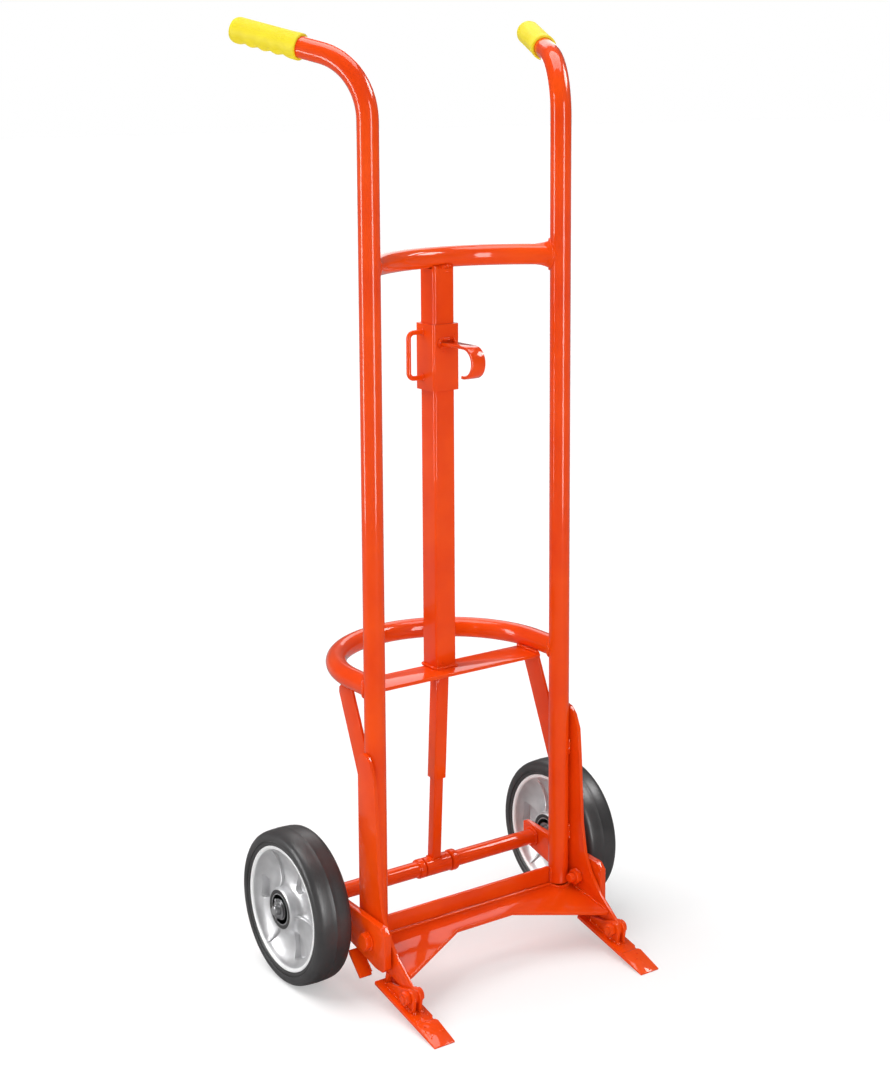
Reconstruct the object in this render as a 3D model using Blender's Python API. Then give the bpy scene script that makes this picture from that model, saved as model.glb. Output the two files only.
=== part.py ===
"""Drum hand truck: two bent side tubes, hoop, mast with a sliding chime hook, axle carriage, pivoting toes.
Metres, +Z up, +X across, load side towards -Y. Origin on the floor at the middle of the outline."""
import bpy
import bmesh
from math import sin, cos, tan, pi, radians, degrees, atan2, hypot
from mathutils import Matrix, Vector

GAP = 0.0003                      # between two touching pieces
Y_SHIFT = 0.02378                 # moves the outline's middle to Y 0
# side tubes and handles
HALF_SPACING = 0.186
TUBE_R, TUBE_RI = 0.0172, 0.0148
TUBE_FOOT_Z = 0.0897
BEND_Z, BEND_R, BEND_TURN, SPLAY = 1.395, 0.105, radians(76.8), radians(24.7)
HANDLE_REACH, GRIP_REACH = 0.234, 0.241
# crosswise pieces
CROSS_Z, CROSS_BOW = 1.172, 0.085
HOOP_Z, HOOP_LEG, HOOP_R = 0.5045, 0.062, 0.186
BAR_TOP, BAR_T, BAR_Y0, BAR_Y1, BAR_HALF = 0.487, 0.006, 0.038, 0.100, 0.176
# mast, sleeve, strut
MAST_Y, MAST_HALF = 0.087, 0.0203
SLEEVE_Z0, SLEEVE_Z1, SLEEVE_HALF = 0.956, 1.065, 0.0254
STRUT_HALF, STRUT_INNER, ROD_HALF = 0.0118, 0.0100, 0.0088
# axle carriage
AXLE_Y, AXLE_Z, AXLE_R = 0.1074, 0.127, 0.008
PIVOT_Y, PIVOT_Z, PIVOT_R = -0.032, 0.104, 0.008
BRACKET_X0, BRACKET_X1 = 0.2127, 0.2247
PLATE_X0, PLATE_X1 = 0.2035, 0.2095
AXLE_TUBE_R = 0.0133
# wheels
WHEEL_X, WHEEL_R, WHEEL_HALF, RIM_R, BOSS_R, BORE_R = 0.2736, 0.127, 0.0317, 0.1025, 0.026, 0.0163
# toes
TOE_Y, TOE_Z, TOE_X, TOE_HALF = -0.130, 0.045, 0.2065, 0.019
TOE_REAR, TOE_TIP, TOE_BASE, TOE_T = 0.0764, -0.0949, -0.0246, 0.006
TOE_TILT = radians(12.8)
TOE_BOLT_R = 0.006

for old in list(bpy.data.objects):
    bpy.data.objects.remove(old, do_unlink=True)


def material(name, colour, roughness, metallic):
    mat = bpy.data.materials.new(name)
    mat.use_nodes = True
    shader = mat.node_tree.nodes["Principled BSDF"]
    shader.inputs["Base Color"].default_value = (*colour, 1.0)
    shader.inputs["Roughness"].default_value = roughness
    shader.inputs["Metallic"].default_value = metallic
    mat.diffuse_color = (*colour, 1.0)
    return mat


PAINT = material("orange_paint", (0.83, 0.075, 0.020), 0.25, 0.0)
VINYL = material("yellow_vinyl", (0.95, 0.78, 0.03), 0.45, 0.0)
RUBBER = material("black_rubber", (0.045, 0.043, 0.045), 0.5, 0.0)
CASTING = material("cast_aluminium", (0.62, 0.62, 0.64), 0.35, 1.0)
STEEL = material("bright_steel", (0.45, 0.45, 0.47), 0.3, 1.0)


def skin(name, rings, mat, origin=(0, 0, 0), closed=False):
    """One body through a row of equal rings: joined end to start, or capped at both ends."""
    bm = bmesh.new()
    loops = [[bm.verts.new(p) for p in ring] for ring in rings]
    n = len(loops[0])
    pairs = list(zip(loops, loops[1:])) + ([(loops[-1], loops[0])] if closed else [])
    for a, b in pairs:
        for i in range(n):
            bm.faces.new((a[i], a[(i + 1) % n], b[(i + 1) % n], b[i]))
    if not closed:
        bm.faces.new(list(reversed(loops[0])))
        bm.faces.new(loops[-1])
    return finish(name, bm, mat, origin)


def finish(name, bm, mat, origin=(0, 0, 0)):
    bmesh.ops.recalc_face_normals(bm, faces=bm.faces)
    bmesh.ops.translate(bm, verts=bm.verts, vec=-Vector(origin))
    mesh = bpy.data.meshes.new(name)
    bm.to_mesh(mesh)
    bm.free()
    mesh.materials.append(mat)
    mesh.shade_smooth()
    mesh.set_sharp_from_angle(angle=radians(32))
    obj = bpy.data.objects.new(name, mesh)
    bpy.context.scene.collection.objects.link(obj)
    obj.location = Vector(origin) - Vector((0, Y_SHIFT, 0))
    return obj


def prism(name, outline, x0, x1, mat, origin=(0, 0, 0)):
    """Plate with a side outline in Y and Z, x0 to x1 thick."""
    x0, x1 = sorted((x0, x1))
    return skin(name, [[(x, y, z) for y, z in outline] for x in (x0, x1)], mat, origin)


def circle_x(x, y, z, r, n=24):
    return [(x, y + r * cos(2 * pi * i / n), z + r * sin(2 * pi * i / n)) for i in range(n)]


def hexagon_x(x, y, z, flats, n=24):
    ring = []
    for i in range(n):
        a = 2 * pi * i / n
        r = flats / 2 / cos((a % (pi / 3)) - pi / 6)
        ring.append((x, y + r * cos(a), z + r * sin(a)))
    return ring


def lathe_x(name, profile, cx, cy, cz, mat, origin=(0, 0, 0), n=32):
    """Closed (radius, x) profile turned about an axis along X."""
    rings = [[(cx + x, cy + r * cos(2 * pi * i / n), cz + r * sin(2 * pi * i / n)) for r, x in profile]
             for i in range(n)]
    return skin(name, rings, mat, origin, closed=True)


def washer(name, x0, x1, y, z, ri, ro, mat, origin=(0, 0, 0), n=24):
    x0, x1 = sorted((x0, x1))
    return lathe_x(name, [(ri, x0), (ro, x0), (ro, x1), (ri, x1)], 0, y, z, mat, origin, n)


def frames(path):
    """Position, side and up vectors along a path, without twist."""
    pts = [Vector(p) for p in path]
    tangents = []
    for i in range(len(pts)):
        a, b = pts[max(i - 1, 0)], pts[min(i + 1, len(pts) - 1)]
        tangents.append((b - a).normalized())
    side = tangents[0].orthogonal().normalized()
    out = []
    for p, t in zip(pts, tangents):
        side = (side - t * side.dot(t)).normalized()
        out.append((p, side, t.cross(side)))
    return out


def round_path(name, path, r, mat, inner=None, origin=(0, 0, 0), n=20):
    """Round bar along a path, or an open-ended tube when it has an inner radius."""
    fr = frames(path)

    def ring(f, radius):
        p, s, u = f
        return [p + s * radius * cos(2 * pi * i / n) + u * radius * sin(2 * pi * i / n) for i in range(n)]
    rings = [ring(f, r) for f in fr]
    if inner is None:
        return skin(name, rings, mat, origin)
    return skin(name, rings + [ring(f, inner) for f in reversed(fr)], mat, origin, closed=True)


def square_ring(half, corner, z, cx=0.0, cy=0.0, steps=3):
    ring = []
    for k, (sx, sy) in enumerate(((1, 1), (-1, 1), (-1, -1), (1, -1))):
        for i in range(steps + 1):
            a = k * pi / 2 + i * pi / 2 / steps
            ring.append((cx + sx * (half - corner) + corner * cos(a),
                         cy + sy * (half - corner) + corner * sin(a), z))
    return ring


def square_tube(name, half, inner, corner, z0, z1, cy, mat, origin=(0, 0, 0), turn=0.0, about=None):
    ci = max(corner - (half - inner), 0.0008)
    rings = [square_ring(half, corner, z0, 0, cy), square_ring(half, corner, z1, 0, cy),
             square_ring(inner, ci, z1, 0, cy), square_ring(inner, ci, z0, 0, cy)]
    if turn:
        m = Matrix.Translation(about) @ Matrix.Rotation(turn, 4, 'X') @ Matrix.Translation(-Vector(about))
        rings = [[m @ Vector(p) for p in ring] for ring in rings]
    return skin(name, rings, mat, origin, closed=True)


def drill(obj, start, end, r, n=24, join=False):
    """Cut a round hole from start to end (world places before the shift)."""
    a, b = Vector(start), Vector(end)
    tool = round_path("cutter", [a, b], r, PAINT, n=n)
    combine(obj, tool, 'DIFFERENCE')


def combine(obj, tool, operation):
    tool.hide_render = True
    tool.display_type = 'WIRE'
    mod = obj.modifiers.new("cut", 'BOOLEAN')
    mod.operation, mod.solver, mod.object = operation, 'EXACT', tool
    bpy.context.view_layer.update()
    bpy.context.view_layer.objects.active = obj
    bpy.ops.object.modifier_apply(modifier=mod.name)
    bpy.data.objects.remove(tool, do_unlink=True)
    obj.data.set_sharp_from_angle(angle=radians(32))


def arc(cy, cz, r, a0, a1, steps):
    return [(cy + r * cos(radians(a0 + (a1 - a0) * i / steps)), cz + r * sin(radians(a0 + (a1 - a0) * i / steps)))
            for i in range(steps + 1)]


SIDES = ((-1, "left"), (1, "right"))

# Side tubes: round tube, upright, bent back and outwards at the top into the handles.
for s, side in SIDES:
    def at(reach, z):
        return (s * (HALF_SPACING + reach * sin(SPLAY)), reach * cos(SPLAY), z)
    bend = [(BEND_R * (1 - cos(BEND_TURN * i / 8)), BEND_Z + BEND_R * sin(BEND_TURN * i / 8)) for i in range(9)]
    rise = 1 / tan(BEND_TURN)
    reach0, z0 = bend[-1]
    path = [at(0, TUBE_FOOT_Z)] + [at(*p) for p in bend]
    path.append(at(HANDLE_REACH, z0 + (HANDLE_REACH - reach0) * rise))
    round_path("side_tube_" + side, path, TUBE_R, PAINT, TUBE_RI)
    # Hand grip: dipped sleeve closed at its end, with finger waves along its underside.
    fr_dir = Vector((s * sin(SPLAY), cos(SPLAY), rise)).normalized()
    across = Vector((s * cos(SPLAY), -sin(SPLAY), 0)).normalized()
    upward = across.cross(fr_dir) * s
    start = Vector(at(0.119, z0 + (0.119 - reach0) * rise))
    length = 0.1285
    rings = []
    stations = [(0.0, 0.0203), (0.002, 0.0212), (0.014, 0.0212)]
    stations += [(0.022 + 0.0058 * i, 0.0208 - 0.0014 * (i % 4 in (1, 2))) for i in range(15)]
    stations += [(0.1115, 0.0212), (0.122, 0.0208), (0.1268, 0.0185), (length, 0.0130)]
    for d, r in stations:
        wave = 0.0015 * (1 - cos(2 * pi * (d - 0.022) / 0.0225)) if 0.022 < d < 0.112 else 0.0
        ring = []
        for i in range(20):
            a = 2 * pi * i / 20
            rr = 0.0208 if 0.0 < wave else r
            rr -= wave * max(0.0, -sin(a))
            ring.append(start + fr_dir * d + across * rr * cos(a) + upward * rr * sin(a))
        rings.append(ring)
    inner = []
    for d in (0.1190, 0.0):
        r = TUBE_R + GAP
        inner.append([start + fr_dir * d + across * r * cos(2 * pi * i / 20) + upward * r * sin(2 * pi * i / 20)
                      for i in range(20)])
    bm_rings = [inner[0], inner[1]] + rings
    skin("hand_grip_" + side, bm_rings, VINYL)

# Upper cross tube: bowed back between the side tubes, its ends shaped to them.
bow_r = (HALF_SPACING ** 2 + CROSS_BOW ** 2) / (2 * CROSS_BOW)
half_angle = atan2(HALF_SPACING, bow_r - CROSS_BOW)
cross = round_path("upper_cross_tube",
                   [(bow_r * sin(half_angle * k / 6), CROSS_BOW - bow_r * (1 - cos(half_angle * k / 6)), CROSS_Z)
                    for k in range(-6, 7)], TUBE_R, PAINT, TUBE_RI)
# Hoop: the same tube bent to a half ring behind the frame.
hoop_path = [(-HALF_SPACING, 0.0, HOOP_Z), (-HALF_SPACING, HOOP_LEG * 0.6, HOOP_Z)]
hoop_path += [(HOOP_R * cos(pi - pi * i / 16), HOOP_LEG + HOOP_R * sin(pi - pi * i / 16), HOOP_Z) for i in range(17)]
hoop_path += [(HALF_SPACING, HOOP_LEG * 0.6, HOOP_Z), (HALF_SPACING, 0.0, HOOP_Z)]
hoop = round_path("hoop_tube", hoop_path, TUBE_R, PAINT, TUBE_RI)
for s, side in SIDES:
    drill(cross, (s * HALF_SPACING, 0, CROSS_Z - 0.05), (s * HALF_SPACING, 0, CROSS_Z + 0.05), TUBE_R + GAP, 40)
    drill(hoop, (s * HALF_SPACING, 0, HOOP_Z - 0.05), (s * HALF_SPACING, 0, HOOP_Z + 0.05), TUBE_R + GAP, 40)

# Flat chord bar under the hoop's legs; the mast stands on it.
skin("hoop_chord_bar", [[(x, y, z) for y, z in ((BAR_Y0, BAR_TOP - BAR_T), (BAR_Y1, BAR_TOP - BAR_T),
                                                (BAR_Y1, BAR_TOP), (BAR_Y0, BAR_TOP))]
                        for x in (-BAR_HALF, BAR_HALF)], PAINT)
# Two flat braces from the hoop down to the side tubes.
for s, side in SIDES:
    top = HOOP_Z - TUBE_R - GAP * 2
    outline = [(TUBE_R + GAP, 0.385), (TUBE_R + GAP, 0.278), (0.1015, 0.474), (0.1010, top - 0.004),
               (0.0965, top), (0.0625, top)]
    prism("brace_strap_" + side, outline, s * 0.1848, s * 0.1898, PAINT)

# Mast: square tube from the chord bar up to the cross tube.
square_tube("mast_tube", MAST_HALF, MAST_HALF - 0.003, 0.004, BAR_TOP + GAP, CROSS_Z - TUBE_R - GAP, MAST_Y, PAINT)

# Hook sleeve: square sleeve sliding on the mast, with the chime hook in front and a pull handle at its side.
sleeve_at = (0, MAST_Y, SLEEVE_Z0)
square_tube("hook_sleeve", SLEEVE_HALF, MAST_HALF + 0.0006, 0.0035, SLEEVE_Z0, SLEEVE_Z1, MAST_Y, PAINT, sleeve_at)
face_y = MAST_Y - SLEEVE_HALF - GAP
centre = [(face_y, 1.034), (0.030, 1.034)] + arc(-0.002, 1.010, 0.024, 90, 282, 12)
outer, inner = [], []
for i, (y, z) in enumerate(centre):
    (ya, za), (yb, zb) = centre[max(i - 1, 0)], centre[min(i + 1, len(centre) - 1)]
    d = hypot(yb - ya, zb - za)
    ny, nz = -(zb - za) / d, (yb - ya) / d
    outer.append((y + ny * 0.0025, z + nz * 0.0025))
    inner.append((y - ny * 0.0025, z - nz * 0.0025))
prism("chime_hook", outer + inner[::-1], -0.013, 0.013, PAINT, sleeve_at)
pull_y, face_x = 0.094, -SLEEVE_HALF - GAP
pull = [(face_x, 1.051), (-0.041, 1.051), (-0.0485, 1.048), (-0.052, 1.041), (-0.052, 0.986),
        (-0.0485, 0.979), (-0.041, 0.976), (face_x, 0.976)]
round_path("sleeve_handle", [(x, pull_y, z) for x, z in pull], 0.004, PAINT, origin=sleeve_at, n=12)

# Strut: square tube under the chord bar and the square rod that slides in it, down to the axle.
axle_at = Vector((0, AXLE_Y, AXLE_Z))
lean = atan2(AXLE_Y - 0.0865, 0.480 - AXLE_Z)
strut = square_tube("strut_tube", STRUT_HALF, STRUT_INNER, 0.0025, 0.288, 0.4799, AXLE_Y, PAINT,
                    turn=lean, about=axle_at)
strut_rod = square_tube("strut_rod", ROD_HALF, ROD_HALF - 0.002, 0.0025, AXLE_Z + 0.008, 0.420, AXLE_Y, PAINT,
                        axle_at, turn=lean, about=axle_at)
drill(strut_rod, (-0.04, AXLE_Y, AXLE_Z), (0.04, AXLE_Y, AXLE_Z), 0.0170 + GAP, 32)
lathe_x("strut_tee", [(AXLE_R + GAP, -0.0240), (0.0170, -0.0240), (0.0170, 0.0300), (AXLE_R + GAP, 0.0300)],
        0, AXLE_Y, AXLE_Z, PAINT, axle_at)

# Foot: an upright bar and a forward plate between the side plates, cut away in the middle for the drum.
slope = 0.14
plate_top = 0.0875


def plan_plate(name, outline, t, mat):
    rings = [[(x, y, plate_top - dz + (y - 0.008) * slope) for x, y in outline] for dz in (t, 0.0)]
    return skin(name, rings, mat)


reach_x = PLATE_X0 - GAP
plan_plate("base_plate", [(-reach_x, 0.016), (-reach_x, -0.114), (-0.196, -0.114), (-0.056, -0.041),
                          (0.056, -0.041), (0.196, -0.114), (reach_x, -0.114), (reach_x, 0.016)], 0.006, PAINT)
skin("lower_cross_bar", [[(x, y, z) for y, z in ((0.002, 0.0893), (0.008, 0.0893), (0.008, 0.1175), (0.002, 0.1175))]
                         for x in (-0.1683, 0.1683)], PAINT)

# Side plates outside the tubes, reaching down and forward to the toe bolts.
profile = [(0.016, 0.066), (0.016, 0.388)] + [(0.011, 0.398), (0.001, 0.4025), (-0.009, 0.400), (-0.020, 0.389)]
profile += [(-0.030, 0.366), (-0.034, 0.320), (-0.0405, 0.200), (-0.050, 0.150), (-0.064, 0.122), (-0.090, 0.091)]
profile += [(-0.1375, 0.0555)] + arc(TOE_Y, TOE_Z, 0.0125, 150, 300, 6) + [(-0.112, 0.047), (-0.066, 0.0605)]
for s, side in SIDES:
    plate = prism("side_plate_" + side, profile, s * PLATE_X0, s * PLATE_X1, PAINT)
    drill(plate, (s * 0.19, PIVOT_Y, PIVOT_Z), (s * 0.22, PIVOT_Y, PIVOT_Z), PIVOT_R + GAP)
    drill(plate, (s * 0.19, TOE_Y, TOE_Z), (s * 0.22, TOE_Y, TOE_Z), TOE_BOLT_R + GAP)
    # Stop: small sloping plate welded outside, under the axle bracket.
    prism("bracket_stop_" + side, [(0.0150, 0.0725), (-0.0200, 0.0390), (-0.0165, 0.0354), (0.0150, 0.0655)],
          s * (PLATE_X1 + GAP), s * 0.2320, PAINT)
    # Big pivot bolt, its nut inside and the spacer ring that stands the bracket off.
    skin("pivot_bolt_" + side, [hexagon_x(s * (BRACKET_X1 + GAP + 0.010), PIVOT_Y, PIVOT_Z, 0.024),
                                hexagon_x(s * (BRACKET_X1 + GAP), PIVOT_Y, PIVOT_Z, 0.024),
                                circle_x(s * (BRACKET_X1 + GAP), PIVOT_Y, PIVOT_Z, PIVOT_R),
                                circle_x(s * 0.1835, PIVOT_Y, PIVOT_Z, PIVOT_R)], PAINT)
    lathe = [hexagon_x(s * 0.1925, PIVOT_Y, PIVOT_Z, 0.024), hexagon_x(s * (PLATE_X0 - GAP), PIVOT_Y, PIVOT_Z, 0.024),
             circle_x(s * (PLATE_X0 - GAP), PIVOT_Y, PIVOT_Z, PIVOT_R + 0.0001),
             circle_x(s * 0.1925, PIVOT_Y, PIVOT_Z, PIVOT_R + 0.0001)]
    skin("pivot_nut_" + side, lathe, PAINT, closed=True)
    washer("pivot_spacer_" + side, s * (PLATE_X1 + GAP), s * (BRACKET_X0 - GAP), PIVOT_Y, PIVOT_Z,
           PIVOT_R + GAP, 0.017, PAINT)

# Axle carriage: two thick brackets on the pivot bolts, joined by the axle and its spacer tubes.
pivot_at = (0, PIVOT_Y, PIVOT_Z)
outline = [(0.134, 0.110), (0.134, 0.1475), (-0.070, 0.1385), (-0.081, 0.128), (-0.081, 0.074), (-0.073, 0.066),
           (-0.052, 0.066)]
for s, side in SIDES:
    bracket = prism("axle_bracket_" + side, outline, s * BRACKET_X0, s * BRACKET_X1, PAINT, pivot_at)
    drill(bracket, (s * 0.20, PIVOT_Y, PIVOT_Z), (s * 0.24, PIVOT_Y, PIVOT_Z), PIVOT_R + 0.0001)
    drill(bracket, (s * 0.20, AXLE_Y, AXLE_Z), (s * 0.24, AXLE_Y, AXLE_Z), AXLE_R + GAP)
    near = 0.0363 if s < 0 else 0.0423
    washer("axle_tube_" + side, s * near, s * (BRACKET_X0 - GAP), AXLE_Y, AXLE_Z, AXLE_R + 0.0024, AXLE_TUBE_R,
           PAINT, pivot_at)
    washer("axle_collar_" + side, s * (near - GAP), s * (near - 0.012), AXLE_Y, AXLE_Z, AXLE_R + GAP,
           0.0165 if s < 0 else 0.0180, PAINT, pivot_at)
    washer("wheel_spacer_" + side, s * (BRACKET_X1 + GAP), s * (WHEEL_X - WHEEL_HALF - GAP), AXLE_Y, AXLE_Z,
           AXLE_R + GAP, 0.0125, STEEL, pivot_at)
    washer("axle_washer_" + side, s * (WHEEL_X + WHEEL_HALF + GAP), s * (WHEEL_X + WHEEL_HALF + 0.0028), AXLE_Y,
           AXLE_Z, AXLE_R + GAP, 0.0150, STEEL, pivot_at)
    pin_x = s * 0.3115
    pin = [(pin_x, AXLE_Y, AXLE_Z - 0.0165), (pin_x, AXLE_Y, AXLE_Z + 0.0105), (pin_x, AXLE_Y - 0.0022, AXLE_Z + 0.0135),
           (pin_x, AXLE_Y - 0.0015, AXLE_Z + 0.0172), (pin_x, AXLE_Y + 0.0022, AXLE_Z + 0.0180),
           (pin_x, AXLE_Y + 0.0040, AXLE_Z + 0.0150)]
    round_path("cotter_pin_" + side, pin, 0.0013, STEEL, origin=pivot_at, n=8)
shaft = skin("axle_shaft", [circle_x(-0.317, AXLE_Y, AXLE_Z, AXLE_R - 0.0012), circle_x(-0.3158, AXLE_Y, AXLE_Z, AXLE_R),
                            circle_x(0.3158, AXLE_Y, AXLE_Z, AXLE_R), circle_x(0.317, AXLE_Y, AXLE_Z, AXLE_R - 0.0012)],
             STEEL, pivot_at)
for s, side in SIDES:
    drill(shaft, (s * 0.3115, AXLE_Y, AXLE_Z - 0.02), (s * 0.3115, AXLE_Y, AXLE_Z + 0.02), 0.0016, 12)

# Wheels: solid rubber tyre moulded on a cast hub with ribs, turning on a bearing sleeve.
for s, side in SIDES:
    hub_at = (s * WHEEL_X, AXLE_Y, AXLE_Z)
    half_profile = [(0.1029, 0.0285), (0.1075, 0.0313), (0.1145, WHEEL_HALF), (0.1205, 0.0300), (0.1248, 0.0256),
                    (WHEEL_R, 0.0185)]
    lathe_x("tyre_" + side, half_profile + [(r, -x) for r, x in reversed(half_profile)], *hub_at, RUBBER, hub_at, 48)
    half_profile = [(BORE_R, WHEEL_HALF), (BOSS_R, WHEEL_HALF), (0.029, 0.006), (0.087, 0.006), (0.0915, 0.026),
                    (RIM_R, 0.026)]
    hub = lathe_x("wheel_hub_" + side, half_profile + [(r, -x) for r, x in reversed(half_profile)], *hub_at, CASTING,
                  hub_at, 40)
    for k in range(5):
        a = pi / 2 + 2 * pi * k / 5
        bm = bmesh.new()
        bmesh.ops.create_cube(bm, size=1.0)
        bmesh.ops.scale(bm, vec=(0.036, 0.068, 0.009), verts=bm.verts)
        bmesh.ops.translate(bm, vec=(0, 0.0575, 0), verts=bm.verts)
        bmesh.ops.rotate(bm, matrix=Matrix.Rotation(a, 3, 'X'), verts=bm.verts)
        bmesh.ops.translate(bm, vec=hub_at, verts=bm.verts)
        combine(hub, finish("rib", bm, CASTING), 'UNION')
    washer("wheel_bearing_" + side, s * WHEEL_X - WHEEL_HALF, s * WHEEL_X + WHEEL_HALF, AXLE_Y, AXLE_Z,
           AXLE_R + 0.0001, BORE_R - GAP, STEEL, hub_at)

# Toes: plates on the floor that swing on bolts through the side plates, each with two upright lugs and a stop.
tilt = Matrix.Translation((0, TOE_Y, TOE_Z)) @ Matrix.Rotation(TOE_TILT, 4, 'X')


def tilted(rings):
    return [[tilt @ Vector(p) for p in ring] for ring in rings]


for s, side in SIDES:
    toe_at = (s * TOE_X, TOE_Y, TOE_Z)
    top = TOE_BASE + TOE_T
    side_view = [(TOE_REAR, TOE_BASE), (TOE_REAR, top), (-0.0400, top), (-0.0440, top + 0.0025),
                 (TOE_TIP, TOE_BASE + 0.0025), (TOE_TIP, TOE_BASE)]
    skin("toe_plate_" + side, tilted([[(x, y, z) for y, z in side_view]
                                      for x in (s * TOE_X - TOE_HALF, s * TOE_X + TOE_HALF)]), PAINT, toe_at)
    lug = [(0.0560, top + GAP), (0.0560, top + 0.0085), (0.0200, 0.0040), (0.0030, 0.0140), (-0.0080, 0.0140),
           (-0.0165, 0.0060), (-0.0175, top + GAP)]
    for part, x0, x1 in (("inner", PLATE_X0 - 0.0055, PLATE_X0 - 0.0005), ("outer", PLATE_X1 + 0.0005, PLATE_X1 + 0.0055)):
        obj = skin("toe_lug_%s_%s" % (part, side), tilted([[(x, y, z) for y, z in lug]
                                                           for x in sorted((s * x0, s * x1))]), PAINT, toe_at)
        drill(obj, (s * 0.18, TOE_Y, TOE_Z), (s * 0.23, TOE_Y, TOE_Z), TOE_BOLT_R + 0.0001)
    lo = s * TOE_X - 0.0085 - GAP
    hi = s * TOE_X + 0.0085 + GAP
    skin("toe_bolt_" + side, [circle_x(lo - 0.0115, TOE_Y, TOE_Z, TOE_BOLT_R, 24), circle_x(hi, TOE_Y, TOE_Z, TOE_BOLT_R),
                              hexagon_x(hi, TOE_Y, TOE_Z, 0.019), hexagon_x(hi + 0.0075, TOE_Y, TOE_Z, 0.019)],
         PAINT, toe_at)
    skin("toe_nut_" + side, [hexagon_x(lo - 0.0095, TOE_Y, TOE_Z, 0.019), hexagon_x(lo, TOE_Y, TOE_Z, 0.019),
                             circle_x(lo, TOE_Y, TOE_Z, TOE_BOLT_R + 0.0001),
                             circle_x(lo - 0.0095, TOE_Y, TOE_Z, TOE_BOLT_R + 0.0001)], PAINT, toe_at, closed=True)
    ring = [(0.0055 * cos(pi * i / 3), 0.0055 * sin(pi * i / 3)) for i in range(6)]
    skin("toe_stop_" + side, tilted([[(s * TOE_X + a, 0.0665 + b, z) for a, b in ring]
                                     for z in (top + GAP, top + 0.0185)]), PAINT, toe_at)
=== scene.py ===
import random
from math import sin, cos, tan, pi, radians, sqrt, atan2

import bmesh
import bpy
from mathutils import Euler, Matrix, Vector


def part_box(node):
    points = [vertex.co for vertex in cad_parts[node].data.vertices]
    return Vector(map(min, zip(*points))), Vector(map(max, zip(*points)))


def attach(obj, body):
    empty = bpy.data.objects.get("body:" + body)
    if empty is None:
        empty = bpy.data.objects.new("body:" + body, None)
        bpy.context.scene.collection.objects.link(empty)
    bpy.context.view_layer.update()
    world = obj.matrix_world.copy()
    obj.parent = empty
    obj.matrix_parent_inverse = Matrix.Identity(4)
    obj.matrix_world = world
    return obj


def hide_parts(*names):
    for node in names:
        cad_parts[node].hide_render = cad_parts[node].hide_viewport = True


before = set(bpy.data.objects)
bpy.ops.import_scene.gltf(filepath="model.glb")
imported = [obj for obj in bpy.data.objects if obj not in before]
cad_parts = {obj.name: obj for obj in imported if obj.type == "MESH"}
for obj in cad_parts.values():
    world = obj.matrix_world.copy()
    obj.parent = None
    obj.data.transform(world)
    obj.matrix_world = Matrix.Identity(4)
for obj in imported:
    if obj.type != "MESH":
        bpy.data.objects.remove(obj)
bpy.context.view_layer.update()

# Studio. A pale floor under a white surround and two soft suns that leave no reflections. Upright
# strip lights draw the narrow highlights down the glossy tubes, and three high cards only reflect.
EYE = (-1.7655, -2.47454, 1.46567)
YAW, PITCH, ROLL = radians(-35.049), radians(-9.121), radians(-0.343)
bpy.ops.object.camera_add(location=EYE)
camera = bpy.context.object
aim = Euler((pi / 2 + PITCH, 0, YAW)).to_matrix() @ Matrix.Rotation(ROLL, 3, "Z")
camera.rotation_euler = aim.to_euler()
camera.data.sensor_width, camera.data.lens, camera.data.shift_y = 36.0, 63.42, -0.14995
bpy.context.scene.camera = camera
bpy.context.scene.view_settings.view_transform = "Standard"


def add_node(tree, kind, values=None, **settings):
    made = tree.nodes.new(kind)
    for key, value in settings.items():
        setattr(made, key, value)
    for key, value in (values or {}).items():
        made.inputs[key].default_value = value
    return made


surround = bpy.data.worlds.new("pale_surround")
bpy.context.scene.world = surround
surround.use_nodes = True
sky = surround.node_tree
sky.nodes.clear()
path = add_node(sky, "ShaderNodeLightPath")
soft = add_node(sky, "ShaderNodeBackground", {"Color": (1, 1, 1, 1), "Strength": 0.34})
mirrored = add_node(sky, "ShaderNodeBackground", {"Color": (1, 0.97, 0.96, 1), "Strength": 0.15})
white = add_node(sky, "ShaderNodeBackground", {"Color": (1, 1, 1, 1), "Strength": 1.0})
by_gloss = add_node(sky, "ShaderNodeMixShader")
by_eye = add_node(sky, "ShaderNodeMixShader")
out = add_node(sky, "ShaderNodeOutputWorld")
sky.links.new(path.outputs["Is Glossy Ray"], by_gloss.inputs[0])
sky.links.new(soft.outputs[0], by_gloss.inputs[1])
sky.links.new(mirrored.outputs[0], by_gloss.inputs[2])
sky.links.new(path.outputs["Is Camera Ray"], by_eye.inputs[0])
sky.links.new(by_gloss.outputs[0], by_eye.inputs[1])
sky.links.new(white.outputs[0], by_eye.inputs[2])
sky.links.new(by_eye.outputs[0], out.inputs[0])

bpy.ops.mesh.primitive_plane_add(size=80, location=(0, 0, 0))
floor = bpy.context.object
floor.name = "studio_floor"
floor_paper = bpy.data.materials.new("pale_floor")
floor_paper.use_nodes = True
ground = floor_paper.node_tree
paper = ground.nodes["Principled BSDF"]
paper.inputs["Roughness"].default_value = 0.9
paper.inputs["Specular IOR Level"].default_value = 0.1
mottle = add_node(ground, "ShaderNodeTexNoise", {"Scale": 0.7, "Detail": 2.0})
tone = add_node(ground, "ShaderNodeMapRange", {"To Min": 0.955, "To Max": 0.97})
place = add_node(ground, "ShaderNodeTexCoord")
ground.links.new(place.outputs["Object"], mottle.inputs["Vector"])
ground.links.new(mottle.outputs["Fac"], tone.inputs["Value"])
sheen_tone = add_node(ground, "ShaderNodeMath", {1: 0.30}, operation="MULTIPLY")
seen_by = add_node(ground, "ShaderNodeLightPath")
either = add_node(ground, "ShaderNodeMix", data_type="FLOAT")
ground.links.new(tone.outputs["Result"], sheen_tone.inputs[0])
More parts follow.
